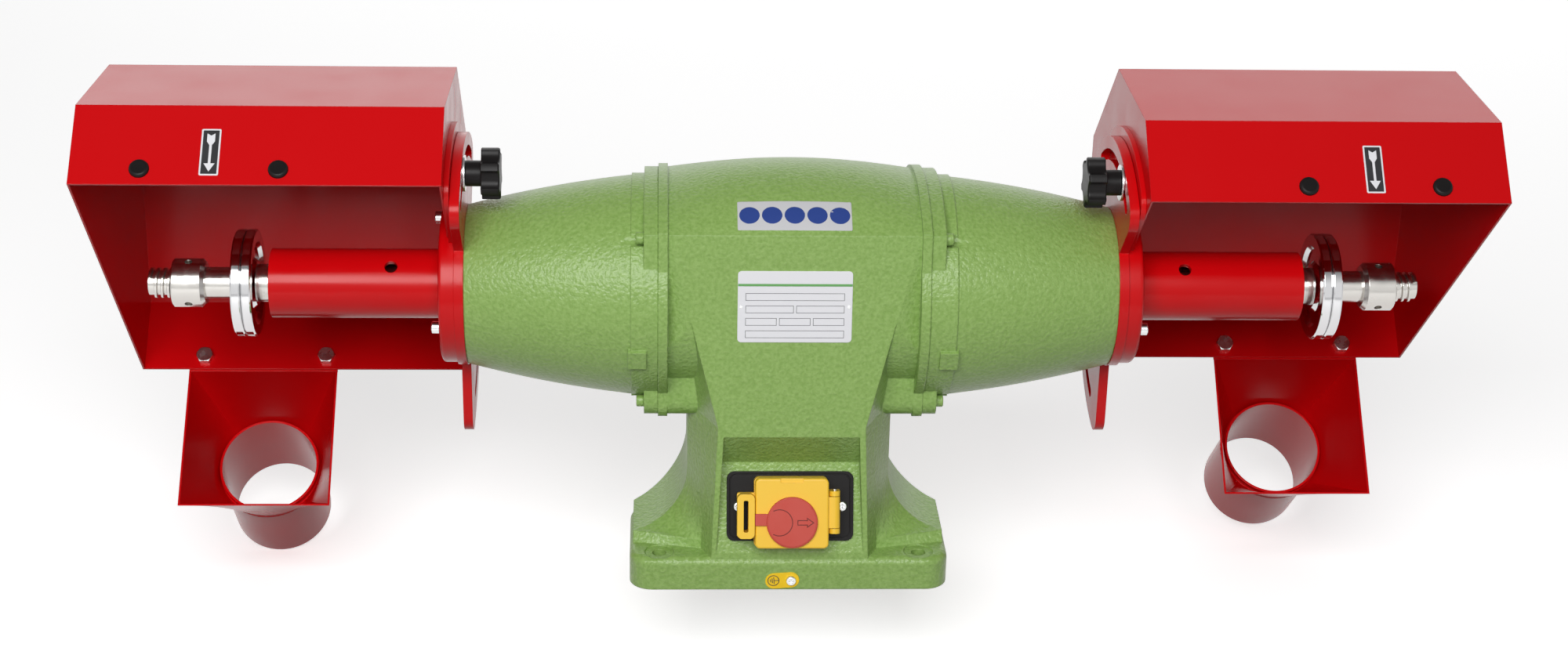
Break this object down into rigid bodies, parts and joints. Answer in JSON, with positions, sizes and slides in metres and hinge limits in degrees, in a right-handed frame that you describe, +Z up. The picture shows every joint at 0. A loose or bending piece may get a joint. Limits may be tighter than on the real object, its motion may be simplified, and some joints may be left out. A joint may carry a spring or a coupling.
{
  "type": "polishing lathe",
  "caption": "Double-ended polishing lathe: cast motor on a flared foot, long spindle with wheel flanges at both ends, and a tilting sheet metal extraction hood with hopper and spout over each.",
  "frame": {"origin": "on the underside of the base, straight below the middle of the spindle", "axes": "+X along the spindle to the operator's right, -Y to the operator, +Z up"},
  "size_m": [1.082, 0.3625, 0.4805],
  "materials": {
    "green_hammer_paint": "hammer texture, half gloss",
    "red_powder_coat": "gloss",
    "chromed_flange": "polished",
    "bright_steel": "turned",
    "zinc_fasteners": "zinc plated",
    "plain_steel": "plain sheet",
    "laminations": "stacked sheet",
    "copper_winding": "varnished copper",
    "cast_aluminium": "cast",
    "black_plastic": "matt",
    "yellow_plastic": "satin",
    "red_plastic": "satin",
    "green_plastic": "satin",
    "earth_tag": "satin",
    "lead_sleeve": "matt"
  },
  "bodies": {
    "machine": {"motor_body": "green_hammer_paint", "end_bell_left": "green_hammer_paint", "end_bell_right": "green_hammer_paint", "end_bell_screws": "green_hammer_paint", "bracket_plate_left": "red_powder_coat", "bracket_plate_right": "red_powder_coat", "spindle_tube_left": "red_powder_coat", "spindle_tube_right": "red_powder_coat", "tube_screws": "zinc_fasteners", "stator_core": "laminations", "stator_winding": "copper_winding", "bearing_outer_left": "bright_steel", "bearing_outer_right": "bright_steel", "base_cover": "plain_steel", "base_cover_screws": "plain_steel", "cable_gland": "black_plastic", "switch_plate": "black_plastic", "switch_box": "black_plastic", "switch_frame": "yellow_plastic", "lid_pin": "bright_steel", "panel_screws": "zinc_fasteners", "earth_tag": "earth_tag", "motor_leads": "lead_sleeve"},
    "spindle": {"spindle_shaft": "bright_steel", "rotor_core": "laminations", "rotor_rings": "cast_aluminium", "bearing_inner_left": "bright_steel", "bearing_inner_right": "bright_steel", "bearing_balls_left": "bright_steel", "bearing_balls_right": "bright_steel", "inner_flange_left": "chromed_flange", "inner_flange_right": "chromed_flange", "clamp_nut_left": "bright_steel", "clamp_nut_right": "bright_steel"},
    "outer_flange_left": {"outer_flange_left": "chromed_flange"},
    "hood_left": {"hood_left": "red_powder_coat", "hood_plate_left": "red_powder_coat", "clamp_stud_left": "zinc_fasteners", "hopper_left": "red_powder_coat", "spout_left": "red_powder_coat", "hopper_bolts_left": "zinc_fasteners", "hopper_nuts_left": "zinc_fasteners", "hood_caps_left": "black_plastic"},
    "clamp_washer_left": {"clamp_washer_left": "zinc_fasteners"},
    "clamp_knob_left": {"clamp_knob_left": "black_plastic"},
    "outer_flange_right": {"outer_flange_right": "chromed_flange"},
    "hood_right": {"hood_right": "red_powder_coat", "hood_plate_right": "red_powder_coat", "clamp_stud_right": "zinc_fasteners", "hopper_right": "red_powder_coat", "spout_right": "red_powder_coat", "hopper_bolts_right": "zinc_fasteners", "hopper_nuts_right": "zinc_fasteners", "hood_caps_right": "black_plastic"},
    "clamp_washer_right": {"clamp_washer_right": "zinc_fasteners"},
    "clamp_knob_right": {"clamp_knob_right": "black_plastic"},
    "switch_lid": {"switch_lid": "yellow_plastic"},
    "stop_pad": {"stop_pad": "red_plastic"},
    "start_button": {"start_button": "green_plastic"},
    "stop_button": {"stop_button": "red_plastic"}
  },
  "joints": [
    {"name": "spindle_spin", "type": "hinge", "parent": "machine", "child": "spindle", "pos_m": [0, 0, 0.221], "axis": [1, 0, 0], "continuous": true},
    {"name": "outer_flange_left_slide", "type": "slide", "parent": "spindle", "child": "outer_flange_left", "axis": [-1, 0, 0], "range_m": [0, 0.0239]},
    {"name": "hood_left_tilt", "type": "hinge", "parent": "machine", "child": "hood_left", "pos_m": [0, 0, 0.221], "axis": [1, 0, 0], "range_deg": [-48.3, 18.7]},
    {"name": "clamp_washer_left_slide", "type": "slide", "parent": "hood_left", "child": "clamp_washer_left", "axis": [1, 0, 0], "range_m": [0, 0.0025]},
    {"name": "clamp_knob_left_turn", "type": "hinge", "parent": "clamp_washer_left", "child": "clamp_knob_left", "pos_m": [-0.2455, -0.02695, 0.323], "axis": [1, 0, 0], "range_deg": [0, 722]},
    {"name": "outer_flange_right_slide", "type": "slide", "parent": "spindle", "child": "outer_flange_right", "axis": [1, 0, 0], "range_m": [0, 0.0239]},
    {"name": "hood_right_tilt", "type": "hinge", "parent": "machine", "child": "hood_right", "pos_m": [0, 0, 0.221], "axis": [1, 0, 0], "range_deg": [-52.5, 14.5]},
    {"name": "clamp_washer_right_slide", "type": "slide", "parent": "hood_right", "child": "clamp_washer_right", "axis": [-1, 0, 0], "range_m": [0, 0.0025]},
    {"name": "clamp_knob_right_turn", "type": "hinge", "parent": "clamp_washer_right", "child": "clamp_knob_right", "pos_m": [0.2455, -0.03435, 0.32075], "axis": [-1, 0, 0], "range_deg": [0, 722]},
    {"name": "switch_lid_hinge", "type": "hinge", "parent": "machine", "child": "switch_lid", "pos_m": [0.0342, -0.09853, 0.07176], "axis": [0, 0.3451, 0.9386], "range_deg": [0, 95]},
    {"name": "stop_pad_slide", "type": "slide", "parent": "switch_lid", "child": "stop_pad", "axis": [1, 0, 0], "range_m": [0, 0.004], "stiffness_N_per_m": 300},
    {"name": "start_button_press", "type": "slide", "parent": "machine", "child": "start_button", "axis": [0, 0.9386, -0.3451], "range_m": [0, 0.003], "stiffness_N_per_m": 800},
    {"name": "stop_button_press", "type": "slide", "parent": "machine", "child": "stop_button", "axis": [0, 0.9386, -0.3451], "range_m": [0, 0.003], "stiffness_N_per_m": 800}
  ],
  "couplings": [
    {"joint": "clamp_knob_left_turn", "follows": "clamp_washer_left_slide", "rad_per_m": 5026.5},
    {"joint": "clamp_knob_right_turn", "follows": "clamp_washer_right_slide", "rad_per_m": 5026.5}
  ]
}
